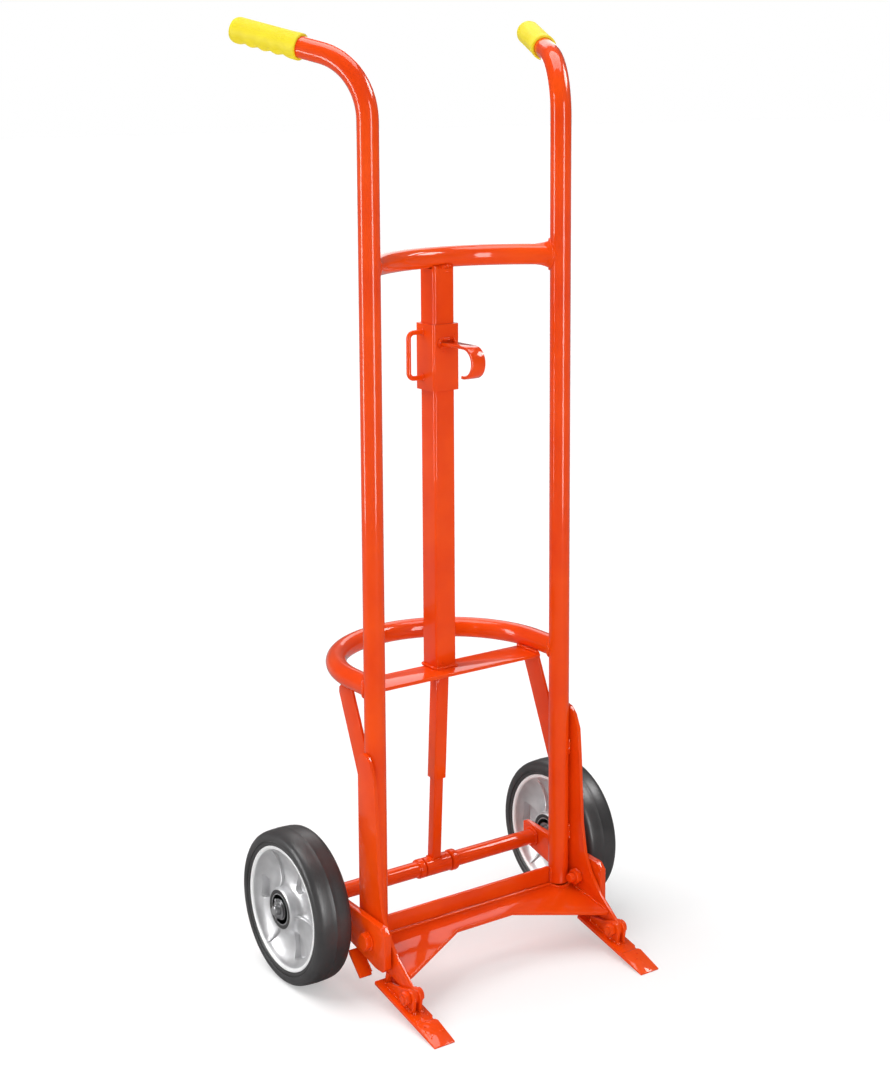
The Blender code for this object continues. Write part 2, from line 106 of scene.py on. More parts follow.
ground.links.new(seen_by.outputs["Is Glossy Ray"], either.inputs[0])
ground.links.new(tone.outputs["Result"], either.inputs[2])
ground.links.new(sheen_tone.outputs[0], either.inputs[3])
calm = add_node(ground, "ShaderNodeMath", {1: -0.36, 2: 1.0}, operation="MULTIPLY_ADD")
calmed = add_node(ground, "ShaderNodeMath", operation="MULTIPLY")
ground.links.new(seen_by.outputs["Is Camera Ray"], calm.inputs[0])
ground.links.new(either.outputs[0], calmed.inputs[0])
ground.links.new(calm.outputs[0], calmed.inputs[1])
ground.links.new(calmed.outputs[0], paper.inputs["Base Color"])
lift = add_node(ground, "ShaderNodeMath", {1: 0.40}, operation="MULTIPLY")
ground.links.new(seen_by.outputs["Is Camera Ray"], lift.inputs[0])
ground.links.new(lift.outputs[0], paper.inputs["Emission Strength"])
paper.inputs["Emission Color"].default_value = (1, 1, 1, 1)
floor.data.materials.append(floor_paper)


def lamp(kind, spot, target, power, size, tall=None, gloss=True, diffuse=True):
    """One studio light at spot, turned towards target."""
    turn = (Vector(target) - Vector(spot)).to_track_quat("-Z", "Y").to_euler()
    bpy.ops.object.light_add(type=kind, location=spot, rotation=turn)
    light = bpy.context.object
    light.data.energy = power
    if kind == "SUN":
        light.data.angle = size
    else:
        light.data.shape, light.data.size, light.data.size_y = "RECTANGLE", size, tall
    light.visible_glossy, light.visible_diffuse, light.visible_camera = gloss, diffuse, False
    return light


lamp("SUN", (-1.6, 1.2, 4.0), (0, 0, 0), 2.35, radians(50), gloss=False)
lamp("SUN", (-0.9, -3.0, 1.9), (0, 0, 0.6), 1.05, radians(70), gloss=False)
lamp("AREA", (0.1, -3.3, 1.3), (0, 0, 0.9), 78, 0.72, 2.6, diffuse=False)
lamp("AREA", (-3.0, 1.3, 1.2), (0, 0, 0.8), 74, 0.72, 2.6, diffuse=False)
lamp("AREA", (0.2, 0.3, 3.6), (0, 0, 0.5), 70, 2.6, 1.6, diffuse=False)
lamp("AREA", (2.3, -0.9, 3.0), (0, 0, 0.4), 75, 1.5, 0.9, diffuse=False)
lamp("AREA", (1.0, 1.4, 1.9), (0, 0, 0), 9, 0.9, 1.6, diffuse=False)

# Side tubes. Two lengths of 34 mm steel tube, bent back and outwards at the top into the handles.
# A smooth gloss enamel covers the whole weldment.
SIDES = ((-1, "left"), (1, "right"))
FRAME_Y = -0.02378
HALF_SPACING, TUBE_R, TUBE_WALL, TUBE_FOOT = 0.186, 0.0172, 0.0024, 0.0897
BEND_Z, BEND_R, BEND_TURN, SPLAY = 1.395, 0.105, radians(76.8), radians(24.7)
HANDLE_REACH, RISE = 0.234, 1 / tan(radians(76.8))
FINISHES = {}


def new_finish(slot_name, metallic, coat, coat_rough, ior=1.5):
    """Empty gloss finish, its constant values set on the shader."""
    mat = bpy.data.materials.new("finish_" + slot_name)
    mat.use_nodes = True
    shader = mat.node_tree.nodes["Principled BSDF"]
    shader.inputs["Metallic"].default_value = metallic
    shader.inputs["Coat Weight"].default_value = coat
    shader.inputs["Coat Roughness"].default_value = coat_rough
    shader.inputs["IOR"].default_value = ior
    FINISHES[slot_name] = mat
    return mat.node_tree, shader


def ramp(tree, source, stops):
    made = add_node(tree, "ShaderNodeValToRGB")
    bands = made.color_ramp.elements
    while len(bands) < len(stops):
        bands.new(0.5)
    for band, (at, colour) in zip(bands, stops):
        band.position, band.color = at, (*colour, 1.0)
    tree.links.new(source, made.inputs["Fac"])
    return made.outputs["Color"]


def grain(tree, scale, detail=2.0, stretch=None):
    """Noise read in the piece's own place."""
    place = add_node(tree, "ShaderNodeTexCoord")
    made = add_node(tree, "ShaderNodeTexNoise", {"Scale": scale, "Detail": detail})
    if stretch:
        squeeze = add_node(tree, "ShaderNodeMapping", {"Scale": stretch})
        tree.links.new(place.outputs["Object"], squeeze.inputs["Vector"])
        tree.links.new(squeeze.outputs["Vector"], made.inputs["Vector"])
    else:
        tree.links.new(place.outputs["Object"], made.inputs["Vector"])
    return made.outputs["Fac"]


def spread(tree, source, low, high, at=(0.0, 1.0)):
    made = add_node(tree, "ShaderNodeMapRange", {"From Min": at[0], "From Max": at[1],
                                                 "To Min": low, "To Max": high})
    tree.links.new(source, made.inputs["Value"])
    return made.outputs["Result"]


def bumps(tree, shader, layers, sockets=("Normal", "Coat Normal")):
    """Stack of bump layers: (height, depth in metres)."""
    normal = None
    for height, depth in layers:
        made = add_node(tree, "ShaderNodeBump", {"Strength": 1.0, "Distance": depth})
        tree.links.new(height, made.inputs["Height"])
        if normal is not None:
            tree.links.new(normal, made.inputs["Normal"])
        normal = made.outputs["Normal"]
    for socket in sockets:
        tree.links.new(normal, shader.inputs[socket])


# Gloss enamel: small drifts of tone, orange peel, long soft ripples where it ran.
tree, enamel = new_finish("orange_paint", 0.0, 1.0, 0.055)
enamel.inputs["Specular IOR Level"].default_value = 0.05
enamel.inputs["Coat IOR"].default_value = 1.36
drift = ramp(tree, grain(tree, 11.0, 3.0), [(0.32, (0.81, 0.053, 0.0012)), (0.52, (0.86, 0.066, 0.0018)),
                                          (0.70, (0.90, 0.078, 0.0026))])
tree.links.new(drift, enamel.inputs["Base Color"])
tree.links.new(spread(tree, grain(tree, 28.0), 0.26, 0.44), enamel.inputs["Roughness"])
bumps(tree, enamel, [(grain(tree, 420.0, 1.0), 0.000020), (grain(tree, 60.0, 2.0, (1, 1, 0.35)), 0.00008)])


def alone(*objs):
    """Nothing else selected, so an operator acts on these only."""
    bpy.ops.object.select_all(action="DESELECT")
    for obj in objs:
        obj.select_set(True)
    bpy.context.view_layer.objects.active = objs[0] if objs else None


def editing(obj):
    alone(obj)
    bpy.ops.object.mode_set(mode="EDIT")
    bpy.ops.mesh.select_mode(type="VERT")
    bpy.ops.mesh.select_all(action="SELECT")


def done_editing(outwards=False):
    """Back out of the mesh, its faces first turned outwards if asked."""
    if outwards:
        bpy.ops.mesh.select_all(action="SELECT")
        bpy.ops.mesh.normals_make_consistent(inside=False)
    bpy.ops.object.mode_set(mode="OBJECT")


def worked(obj, kind, **settings):
    """A modifier set up and applied."""
    alone(obj)
    bpy.ops.object.modifier_add(type=kind)
    mod = obj.modifiers[-1]
    for key, value in settings.items():
        setattr(mod, key, value)
    bpy.ops.object.modifier_apply(modifier=mod.name)
    return obj


def rounded(obj, width, segments=2, angle=30):
    return worked(obj, "BEVEL", width=width, segments=segments, limit_method="ANGLE",
                  angle_limit=radians(angle), harden_normals=False, use_clamp_overlap=True)


def settled(obj, matrix=None):
    """The piece's place moved into its mesh."""
    if matrix is not None:
        obj.matrix_world = matrix @ obj.matrix_world
    alone(obj)
    bpy.ops.object.transform_apply(location=True, rotation=True, scale=True)
    return obj


def fitted(obj, name, body, finish, *nodes, smooth=35):
    """Named, shaded, painted and fixed to the body it moves with."""
    settled(obj)
    bpy.ops.object.shade_smooth_by_angle(angle=radians(smooth))
    obj.name = obj.data.name = name
    obj.data.materials.clear()
    obj.data.materials.append(FINISHES[finish])
    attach(obj, body)
    if nodes:
        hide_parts(*nodes)
    return obj


def one_piece(first, *others):
    alone(first, *others)
    bpy.ops.object.join()
    return first


def another(obj, matrix):
    """A copy with its own mesh, moved by matrix."""
    made = obj.copy()
    made.data = obj.data.copy()
    bpy.context.scene.collection.objects.link(made)
    return settled(made, matrix)


def drawn_tube(radius, wall, start, facing, run, sides=48):
    """Round tube from an open ring, through pulls (a vector) and bends (centre, axis, angle, steps)."""
    alone()
    bpy.ops.mesh.primitive_circle_add(vertices=sides, radius=radius, location=start,
                                      rotation=Vector(facing).to_track_quat("Z", "Y").to_euler())
    tube = bpy.context.object
    settled(tube)
    editing(tube)
    for step in run:
        if len(step) == 3:
            bpy.ops.mesh.extrude_region_move(TRANSFORM_OT_translate={"value": tuple(step)})
        else:
            centre, axis, angle, steps = step
            bpy.ops.mesh.spin(steps=steps, angle=-angle, center=tuple(centre), axis=tuple(axis))
    bpy.ops.mesh.select_all(action="SELECT")
    bpy.ops.mesh.remove_doubles(threshold=0.00001)
    if wall is None:
        bpy.ops.mesh.fill_holes(sides=0)
    done_editing(outwards=True)
    if wall is not None:
        worked(tube, "SOLIDIFY", thickness=wall, offset=-1.0, use_even_offset=True)
    return tube


for s, side in SIDES:
    back = Vector((s * sin(SPLAY), cos(SPLAY), 0))
    top = Vector((s * HALF_SPACING, FRAME_Y, BEND_Z))
    reach = BEND_R * (1 - cos(BEND_TURN))
    tube = drawn_tube(TUBE_R, TUBE_WALL, (s * HALF_SPACING, FRAME_Y, TUBE_FOOT), (0, 0, 1), [
        (0, 0, BEND_Z - TUBE_FOOT),
        (top + back * BEND_R, Vector((0, 0, 1)).cross(back), BEND_TURN, 20),
        (back + Vector((0, 0, RISE))) * (HANDLE_REACH - reach)])
    fitted(tube, "bent_tube_" + side, "frame", "orange_paint", "side_tube_" + side)

# Hand grips. Yellow vinyl sleeves pushed over the tube ends: closed rounded tip, four finger waves
# underneath, a stippled back and a plain collar at the mouth.
GRIP_START, GRIP_RINGS = 0.119, 46
WAVE_START, WAVE_PITCH, WAVE_DEPTH = 0.0165, 0.0244, 0.135
tree, vinyl = new_finish("yellow_vinyl", 0.0, 0.0, 0.3, 1.48)
vinyl.inputs["Specular IOR Level"].default_value = 0.22
shade = ramp(tree, grain(tree, 22.0, 3.0), [(0.3, (0.84, 0.68, 0.010)), (0.7, (0.94, 0.79, 0.022))])
tree.links.new(shade, vinyl.inputs["Base Color"])
tree.links.new(spread(tree, grain(tree, 90.0), 0.42, 0.60), vinyl.inputs["Roughness"])
pebbles = add_node(tree, "ShaderNodeTexVoronoi", {"Scale": 620.0})
tree.links.new(add_node(tree, "ShaderNodeTexCoord").outputs["Object"], pebbles.inputs["Vector"])
facing_up = add_node(tree, "ShaderNodeSeparateXYZ")
tree.links.new(add_node(tree, "ShaderNodeNewGeometry").outputs["Normal"], facing_up.inputs[0])
stipple = add_node(tree, "ShaderNodeMath", operation="MULTIPLY")
tree.links.new(spread(tree, pebbles.outputs["Distance"], 1.0, 0.0, (0.0, 0.7)), stipple.inputs[0])
tree.links.new(spread(tree, facing_up.outputs["Z"], 0.0, 1.0, (0.05, 0.45)), stipple.inputs[1])
bumps(tree, vinyl, [(stipple.outputs[0], 0.00055), (grain(tree, 240.0), 0.00010)])


def turned(outline, centre=(0, 0, 0), sides=64):
    """Closed outline of (radius, along) corners spun round the X line through centre."""
    alone()
    bpy.ops.mesh.primitive_circle_add(vertices=len(outline), radius=1)
    ring = bpy.context.object
    for corner, (radius, along) in zip(ring.data.vertices, outline):
        corner.co = (along, 0, radius)
    editing(ring)
    bpy.ops.mesh.spin(steps=sides, angle=2 * pi, center=(0, 0, 0), axis=(1, 0, 0))
    bpy.ops.mesh.select_all(action="SELECT")
    bpy.ops.mesh.remove_doubles(threshold=0.000002)
    bpy.ops.mesh.dissolve_degenerate(threshold=0.000001)
    done_editing(outwards=True)
    return settled(ring, Matrix.Translation(centre))


for s, side in SIDES:
    back = Vector((s * sin(SPLAY), cos(SPLAY), 0))
    outward = (back + Vector((0, 0, RISE))).normalized()
    across = Vector((s * cos(SPLAY), -sin(SPLAY), 0))
    upward = outward.cross(across) * -s
    reach0 = BEND_R * (1 - cos(BEND_TURN))
    mouth = Vector((s * HALF_SPACING, FRAME_Y, BEND_Z + BEND_R * sin(BEND_TURN)))
    mouth += back * GRIP_START + Vector((0, 0, (GRIP_START - reach0) * RISE))
    outline = [(TUBE_R + 0.0003, 0.0), (0.0200, 0.0), (0.0212, 0.0008), (0.0213, 0.0030), (0.0213, 0.0125),
               (0.0210, 0.0150)]
    outline += [(0.0208, WAVE_START + 0.0975 * i / GRIP_RINGS) for i in range(GRIP_RINGS + 1)]
    outline += [(0.0209, 0.1165), (0.0208, 0.1190), (0.0202, 0.1225), (0.0188, 0.1255), (0.0160, 0.1275),
                (0.0110, 0.1283), (0.0, 0.1285), (0.0, 0.1190), (TUBE_R + 0.0003, 0.1190)]
    grip = turned(outline, sides=56)
    for corner in grip.data.vertices:
        along, y, z = corner.co
        if WAVE_START < along < 0.1140 and (y * y + z * z) > 0.019 ** 2:
            swell = 0.5 - 0.5 * cos(2 * pi * (along - WAVE_START) / WAVE_PITCH)
            under = max(0.0, -z / sqrt(y * y + z * z)) ** 1.3
            corner.co.yz = Vector((y, z)) * (1 - WAVE_DEPTH * swell * under)
    turn = Matrix((outward, across, upward)).transposed().to_4x4()
    if turn.determinant() < 0:
        turn = Matrix((outward, -across, upward)).transposed().to_4x4()
    settled(grip, Matrix.Translation(mouth) @ turn)
    fitted(grip, "vinyl_grip_" + side, "frame", "yellow_vinyl", "hand_grip_" + side, smooth=50)

# Upper cross tube. The same tube rolled to a bow and coped to the side tubes, with a flared
# weld run round each end.
CROSS_Z, CROSS_BOW = 1.172, 0.085
bow_r = (HALF_SPACING ** 2 + CROSS_BOW ** 2) / (2 * CROSS_BOW)
bow_turn = atan2(HALF_SPACING, bow_r - CROSS_BOW)
start = Vector((-HALF_SPACING, FRAME_Y, CROSS_Z))


def coped(tube, spots):
    """Ends of a tube cut away where the upright tubes pass."""
    for x, y, z in spots:
        alone()
        bpy.ops.mesh.primitive_cylinder_add(vertices=64, radius=TUBE_R - 0.0006, depth=0.12,
                                            location=(x, y, z))
        knife = bpy.context.object
        worked(tube, "BOOLEAN", operation="DIFFERENCE", solver="EXACT", object=knife)
        bpy.data.objects.remove(knife, do_unlink=True)
    return tube


bow_middle = Vector((0, FRAME_Y + CROSS_BOW - bow_r, CROSS_Z))
cross = drawn_tube(TUBE_R, TUBE_WALL, start, (cos(bow_turn), sin(bow_turn), 0),
                   [(bow_middle, (0, 0, 1), -2 * bow_turn, 36)])
coped(cross, [(s * HALF_SPACING, FRAME_Y, CROSS_Z) for s, side in SIDES])
fitted(cross, "rolled_cross_tube", "frame", "orange_paint", "upper_cross_tube")


def bead(line, width, closed=True, ripple=0.16, pitch=0.0030, seed=1):
    """Weld run: a round bar along a line of points, its width pulsing like laid puddles."""
    chance = random.Random(seed)
    line = [Vector(p) for p in line]
    ends = line + line[:1] if closed else line
    dense = []
    for a, b in zip(ends, ends[1:]):
        cuts = max(1, round((b - a).length / (pitch / 4)))
        dense += [a.lerp(b, k / cuts) for k in range(cuts)]
    if not closed:
        dense.append(ends[-1])
    alone()
    bpy.ops.mesh.primitive_circle_add(vertices=max(3, len(dense)), radius=1)
    run = bpy.context.object
    for corner, spot in zip(run.data.vertices, dense):
        corner.co = spot
    if not closed:
        editing(run)
        bpy.ops.mesh.select_mode(type="EDGE")
        bpy.ops.mesh.select_all(action="DESELECT")
        cage = bmesh.from_edit_mesh(run.data)
        cage.verts.ensure_lookup_table()
        last = {cage.verts[0], cage.verts[len(dense) - 1]}
        for edge in cage.edges:
            edge.select_set(set(edge.verts) == last)
        bmesh.update_edit_mesh(run.data)
        bpy.ops.mesh.delete(type="EDGE_FACE")
        done_editing()
    alone(run)
    bpy.ops.object.convert(target="CURVE")
    run = bpy.context.object
    run.data.bevel_depth, run.data.bevel_resolution = width / 2, 3
    run.data.use_fill_caps = True
    for k, point in enumerate(run.data.splines[0].points):
        point.radius = 1 - ripple * (0.5 + 0.5 * cos(pi * k / 2)) + chance.uniform(-0.5, 0.5) * ripple
    alone(run)
    bpy.ops.object.convert(target="MESH")
    return bpy.context.object


def saddle(centre, along, radius, post, count=60):
    """Line where a round branch leaves an upright round post."""
    centre, along = Vector(centre), Vector(along).normalized()
    level = Vector((-along.y, along.x, 0))
    wide = min(radius, post) * 0.90
    return [centre + level * wide * cos(t) + Vector((0, 0, radius * sin(t)))
            + along * sqrt(max(post ** 2 - (wide * cos(t)) ** 2, 0.0))
            for t in (2 * pi * k / count for k in range(count))]


FLARE_R, FLARE_CORE, FLARE_FLATTEN = TUBE_R + 0.0074, 0.0100, 0.70
for s, side in SIDES:
    end = Vector((s * HALF_SPACING, FRAME_Y, CROSS_Z))
    inward = (-s * cos(bow_turn), sin(bow_turn), 0)
    flare = turned([(FLARE_CORE, 0.0020), (FLARE_R, 0.0020), (FLARE_R, 0.0170), (TUBE_R + 0.0050, 0.0205),
                    (TUBE_R + 0.0030, 0.0255), (TUBE_R + 0.0014, 0.0320), (TUBE_R + 0.0004, 0.0410),
                    (TUBE_R - 0.0010, 0.0440), (FLARE_CORE, 0.0440)], sides=64)
    heading = Matrix.Rotation(atan2(inward[1], inward[0]), 4, "Z")
    settled(flare, Matrix.Translation(end) @ heading @ Matrix.Diagonal((1, FLARE_FLATTEN, 1, 1)))
    coped(flare, [end])
    run = bead(saddle(end, inward, TUBE_R + 0.0070, TUBE_R + 0.0004), 0.0052, ripple=0.12, seed=3 + s)
    run = one_piece(run, flare)
    fitted(run, "cross_tube_weld_" + side, "frame", "orange_paint", smooth=60)

# Hoop. One more length of the tube rolled to a half ring behind the frame; it carries the drum when
# the truck lies back. Coped and welded to the side tubes.
HOOP_Z, HOOP_LEG = 0.5045, 0.062
hoop = drawn_tube(TUBE_R, TUBE_WALL, (-HALF_SPACING, FRAME_Y, HOOP_Z), (0, 1, 0), [
    (0, HOOP_LEG, 0),
    ((0, FRAME_Y + HOOP_LEG, HOOP_Z), (0, 0, 1), -pi, 56),
    (0, -HOOP_LEG, 0)])
coped(hoop, [(s * HALF_SPACING, FRAME_Y, HOOP_Z) for s, side in SIDES])
fitted(hoop, "rolled_hoop", "frame", "orange_paint", "hoop_tube")
for s, side in SIDES:
    joint = saddle((s * HALF_SPACING, FRAME_Y, HOOP_Z), (0, 1, 0), TUBE_R + 0.0006, TUBE_R + 0.0006)
    run = bead(joint, 0.0075, seed=7 + s)
    fitted(run, "hoop_weld_" + side, "frame", "orange_paint", smooth=60)

# Flat bars. A chord bar under the hoop's legs carries the mast, and two braces run from the hoop
# down to the side tubes. Hot-rolled flat with its edges rolled over, tacked along its sides.


def dressed(node, edge, segments=3, name=None, body="frame", finish="orange_paint", weld=0.00002):
    """Copy of a flat part with its sharp edges rolled over."""
    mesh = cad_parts[node].data.copy()
    made = bpy.data.objects.new(name or node + "_dressed", mesh)
    bpy.context.scene.collection.objects.link(made)
    editing(made)
    bpy.ops.mesh.remove_doubles(threshold=weld)
    bpy.ops.mesh.customdata_custom_splitnormals_clear()
    bpy.ops.mesh.dissolve_limited(angle_limit=radians(1.0))
    done_editing()
    rounded(made, edge, segments)
    return fitted(made, name or node + "_dressed", body, finish, node)


dressed("hoop_chord_bar", 0.0014)
for s, side in SIDES:
    dressed("brace_strap_" + side, 0.0012)
    x, foot_y = s * 0.1873, FRAME_Y + TUBE_R
    low = bead([(x, foot_y + 0.0008, z) for z in (0.284, 0.330, 0.380)], 0.0052, closed=False, seed=11 + s)
    high = bead([(x, FRAME_Y + y, HOOP_Z - TUBE_R + 0.0002) for y in (0.064, 0.080, 0.096)], 0.0056,
                closed=False, seed=13 + s)
    bar = bead([(s * (HALF_SPACING - 0.0135), FRAME_Y + y, 0.4885) for y in (0.040, 0.070, 0.098)], 0.0056,
               closed=False, seed=15 + s)
    fitted(one_piece(low, high, bar), "brace_welds_" + side, "frame", "orange_paint", smooth=60)

# Mast. A 40 mm square tube, standing on the chord bar and butted up under the cross tube; the
# welds at its foot and head are heavy and uneven.
MAST_Y, MAST_HALF = FRAME_Y + 0.087, 0.0203


def square_bar(half, corner, wall, z0, z1, y):
    """Square tube with rolled corners, standing at x 0."""
    alone()
    bpy.ops.mesh.primitive_cube_add(size=1, location=(0, y, (z0 + z1) / 2),
                                    scale=(2 * half, 2 * half, z1 - z0))
    bar = bpy.context.object
    settled(bar)
    editing(bar)
    bpy.ops.mesh.select_mode(type="EDGE")
    bpy.ops.mesh.select_all(action="DESELECT")
    cage = bmesh.from_edit_mesh(bar.data)
    for edge in cage.edges:
        edge.select_set(abs(edge.verts[0].co.z - edge.verts[1].co.z) > (z1 - z0) / 2)
    bmesh.update_edit_mesh(bar.data)
    bpy.ops.mesh.bevel(offset=corner, segments=7, affect="EDGES")
    bpy.ops.mesh.select_mode(type="FACE")
    bpy.ops.mesh.select_all(action="DESELECT")
    cage = bmesh.from_edit_mesh(bar.data)
    for face in cage.faces:
        face.select_set(abs(face.normal.z) > 0.9)
    bmesh.update_edit_mesh(bar.data)
    bpy.ops.mesh.delete(type="FACE")
    done_editing()
    worked(bar, "SOLIDIFY", thickness=wall, offset=-1.0)
    return rounded(bar, min(0.0006, wall / 3), 2, 60)


box_lo, box_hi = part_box("mast_tube")
mast = square_bar(MAST_HALF, 0.0045, 0.003, box_lo.z, box_hi.z, MAST_Y)
fitted(mast, "square_mast", "frame", "orange_paint", "mast_tube")


def square_loop(half, corner, y, z):
    spots = []
    for k, (sx, sy) in enumerate(((1, 1), (-1, 1), (-1, -1), (1, -1))):
        for i in range(5):
            a = k * pi / 2 + i * pi / 8
            spots.append((sx * (half - corner) + corner * cos(a),
                          y + sy * (half - corner) + corner * sin(a), z))
    return spots


def spatter(spots, low, high, seed):
    """Small round beads thrown off by the welding, left under the paint."""
    chance = random.Random(seed)
    made = []
    for x, y, z in spots:
        alone()
        bpy.ops.mesh.primitive_ico_sphere_add(subdivisions=2, radius=chance.uniform(low, high),
                                              location=(x, y, z))
        drop = bpy.context.object
        drop.scale = (1, 1, chance.uniform(0.6, 0.9))
        drop.rotation_euler = (chance.uniform(0, 1), chance.uniform(0, 1), chance.uniform(0, 3))
        made.append(settled(drop))
    return one_piece(*made)


foot = bead(square_loop(MAST_HALF + 0.0008, 0.004, MAST_Y, box_lo.z + 0.0014), 0.0058, ripple=0.3, seed=21)
front = bead([(x, MAST_Y - 0.0160, CROSS_Z - TUBE_R + 0.0015 + 0.001 * sin(x * 160)) for x in
              (-0.019, -0.009, 0.002, 0.011, 0.019)], 0.0085, closed=False, ripple=0.3, seed=22)
rear = bead([(x, MAST_Y + 0.0155, CROSS_Z - TUBE_R + 0.0015) for x in (-0.019, 0.0, 0.019)], 0.0085,
            closed=False, ripple=0.3, seed=23)
face_y = MAST_Y - MAST_HALF
drops = spatter([(0.004, face_y, 1.1490), (0.0075, face_y, 1.1484), (-0.009, face_y, 1.1486),
                 (0.0125, face_y, 1.1492),
                 (-0.008, face_y - 0.0004, box_lo.z + 0.011), (-0.0055, face_y, box_lo.z + 0.008),
                 (-0.0115, face_y - 0.0004, box_lo.z + 0.0075), (-0.017, face_y - 0.001, box_lo.z + 0.005)],
                0.0009, 0.0016, 24)
fitted(one_piece(foot, front, rear, drops), "mast_welds", "frame", "orange_paint", smooth=60)

# Hook sleeve. A square sleeve that slides on the mast; the chime hook, a strip curled over to catch a
# drum's rim, is welded across its front and a bent rod makes the pull on its left side.
SLEEVE_HALF = 0.0254
box_lo, box_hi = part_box("hook_sleeve")
sleeve = square_bar(SLEEVE_HALF, 0.0036, SLEEVE_HALF - MAST_HALF - 0.0006, box_lo.z, box_hi.z, MAST_Y)
fitted(sleeve, "mast_sleeve", "hook", "orange_paint", "hook_sleeve")

HOOK_Z, CURL_Y, CURL_Z, STRIP_T, CURL_TURN = 1.034, FRAME_Y - 0.002, 1.010, 0.005, radians(192)
face_y = MAST_Y - SLEEVE_HALF
alone()
bpy.ops.mesh.primitive_circle_add(vertices=4, radius=1)
hook = bpy.context.object
for corner, (x, z) in zip(hook.data.vertices, ((-0.013, -1), (0.013, -1), (0.013, 1), (-0.013, 1))):
    corner.co = (x, face_y - 0.0003, HOOK_Z + z * STRIP_T / 2)
editing(hook)
bpy.ops.mesh.extrude_region_move(TRANSFORM_OT_translate={"value": (0, CURL_Y - (face_y - 0.0003), 0)})
bpy.ops.mesh.spin(steps=24, angle=-CURL_TURN, center=(0, CURL_Y, CURL_Z), axis=(1, 0, 0))
bpy.ops.mesh.select_all(action="SELECT")
bpy.ops.mesh.remove_doubles(threshold=0.00001)
bpy.ops.mesh.fill_holes(sides=0)
done_editing(outwards=True)
rounded(hook, 0.0009, 2, 50)
fitted(hook, "curled_hook", "hook", "orange_paint", "chime_hook")

PULL_Y, ROD_R, PULL_BEND = FRAME_Y + 0.094, 0.004, 0.010
PULL_LOW, PULL_HIGH, PULL_OUT = 0.976, 1.051, -0.052
side_x = -SLEEVE_HALF - 0.0003
pull = drawn_tube(ROD_R, None, (side_x, PULL_Y, PULL_HIGH), (-1, 0, 0), [
    (PULL_OUT + PULL_BEND - side_x, 0, 0),
    ((PULL_OUT + PULL_BEND, PULL_Y, PULL_HIGH - PULL_BEND), (0, 1, 0), -pi / 2, 10),
    (0, 0, PULL_LOW - PULL_HIGH + 2 * PULL_BEND),
    ((PULL_OUT + PULL_BEND, PULL_Y, PULL_LOW + PULL_BEND), (0, 1, 0), -pi / 2, 10),
    (side_x - PULL_OUT - PULL_BEND, 0, 0)], sides=24)
fitted(pull, "rod_pull", "hook", "orange_paint", "sleeve_handle")

strip = [(x, face_y - 0.0012, z)
         for x, z in ((-0.0145, 1.0295), (-0.0150, 1.0375), (-0.012, 1.0405), (0.012, 1.0405),
                      (0.0150, 1.0375), (0.0145, 1.0295))]
lap = bead(strip, 0.0062, closed=False, ripple=0.35, seed=31)
under = bead([(x, face_y - 0.0014, 1.0290) for x in (-0.0135, 0.0, 0.0135)], 0.0070, closed=False,
             ripple=0.3, seed=32)
rings = [bead([(side_x - 0.0005, PULL_Y + 0.0047 * cos(t), z + 0.0047 * sin(t))
               for t in (2 * pi * k / 16 for k in range(16))], 0.0034, seed=33)
         for z in (PULL_LOW, PULL_HIGH)]
drops = spatter([(-0.018, face_y, 1.040), (-0.0195, face_y, 1.022), (0.017, face_y, 1.047),
                 (0.019, face_y, 1.0545), (-0.006, face_y, 1.0205), (0.012, face_y, 1.0212)],
                0.0008, 0.0014, 34)
fitted(one_piece(lap, under, drops, *rings), "hook_welds", "hook", "orange_paint", smooth=60)

# Strut. A square tube hangs from the chord bar and a square rod slides in it down to the axle, where
# a short round tee turns on the shaft between two collars.
AXLE_Y, AXLE_Z, AXLE_R = FRAME_Y + 0.1074, 0.127, 0.008
STRUT_HALF, ROD_HALF = 0.0118, 0.0088
axle = Vector((0, AXLE_Y, AXLE_Z))
LEAN = atan2(0.0209, 0.353)
leaning = Matrix.Translation(axle) @ Matrix.Rotation(LEAN, 4, "X") @ Matrix.Translation(-axle)
strut = square_bar(STRUT_HALF, 0.0028, 0.0018, 0.288, 0.4799, AXLE_Y)
fitted(settled(strut, leaning), "strut_square_tube", "frame", "orange_paint", "strut_tube")
rod = square_bar(ROD_HALF, 0.0026, 0.002, AXLE_Z + 0.0140, 0.420, AXLE_Y)
fitted(settled(rod, leaning), "strut_square_rod", "strut_rod", "orange_paint", "strut_rod")
tee = turned([(AXLE_R + 0.0003, -0.0226), (0.0154, -0.0226), (0.0163, -0.0218), (0.0163, 0.0268),
              (0.0154, 0.0276), (AXLE_R + 0.0003, 0.0276)], axle)
fitted(tee, "strut_round_tee", "strut_rod", "orange_paint", "strut_tee")
root = [leaning @ Vector((x, y, z + 0.0165 + 0.0012 - 6.0 * x * x))
        for x, y, z in square_loop(ROD_HALF + 0.0012, 0.003, AXLE_Y, AXLE_Z)]
root = [Vector((p.x, p.y, AXLE_Z + sqrt(max(0.0165 ** 2 - (p.y - AXLE_Y) ** 2, 0)) + 0.0004)) for p in root]
run = bead(root, 0.0034, ripple=0.3, seed=41)
drops = spatter([(0.020, AXLE_Y - 0.006, AXLE_Z + 0.0160), (-0.019, AXLE_Y - 0.008, AXLE_Z + 0.0150)],
                0.001, 0.0018, 42)
fitted(one_piece(run, drops), "tee_weld", "strut_rod", "orange_paint", smooth=60)
root = [leaning @ Vector(p) for p in square_loop(STRUT_HALF + 0.0004, 0.003, AXLE_Y, 0.4806)]
fitted(bead(root, 0.0034, ripple=0.25, seed=43), "strut_top_weld", "frame", "orange_paint", smooth=60)

